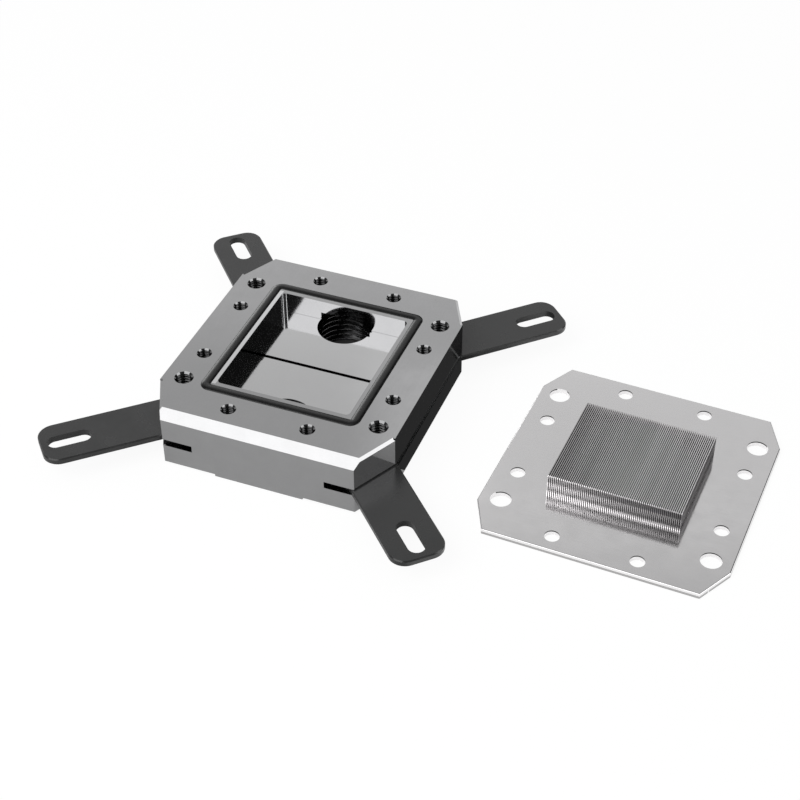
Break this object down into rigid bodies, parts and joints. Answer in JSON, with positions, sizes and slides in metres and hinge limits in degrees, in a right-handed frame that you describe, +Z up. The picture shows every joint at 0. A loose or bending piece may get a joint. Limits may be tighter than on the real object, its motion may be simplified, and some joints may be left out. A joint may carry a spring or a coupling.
{
  "type": "cpu water block",
  "caption": "Opened CPU water block: milled body lying chamber up with seal ring and slotted mounting brackets, and the finned cold plate beside it.",
  "frame": {"origin": "centre of the face the body rests on: the raised strip on its outer side", "axes": "+Z up, out of the open water chamber; +X towards the cold plate that lies beside the body; +Y along the line of the two ports, towards the back"},
  "size_m": [0.1463, 0.0915, 0.0141],
  "materials": {
    "plated_body": "bright nickel plate over brass",
    "rubber_cord": "matt black",
    "black_steel": "satin black powder coat",
    "plated_copper": "nickel plate over copper"
  },
  "bodies": {
    "root": {"body": "plated_body", "seal_ring": "rubber_cord", "bracket_left": "black_steel", "bracket_right": "black_steel", "cold_plate": "plated_copper"}
  },
  "joints": []
}
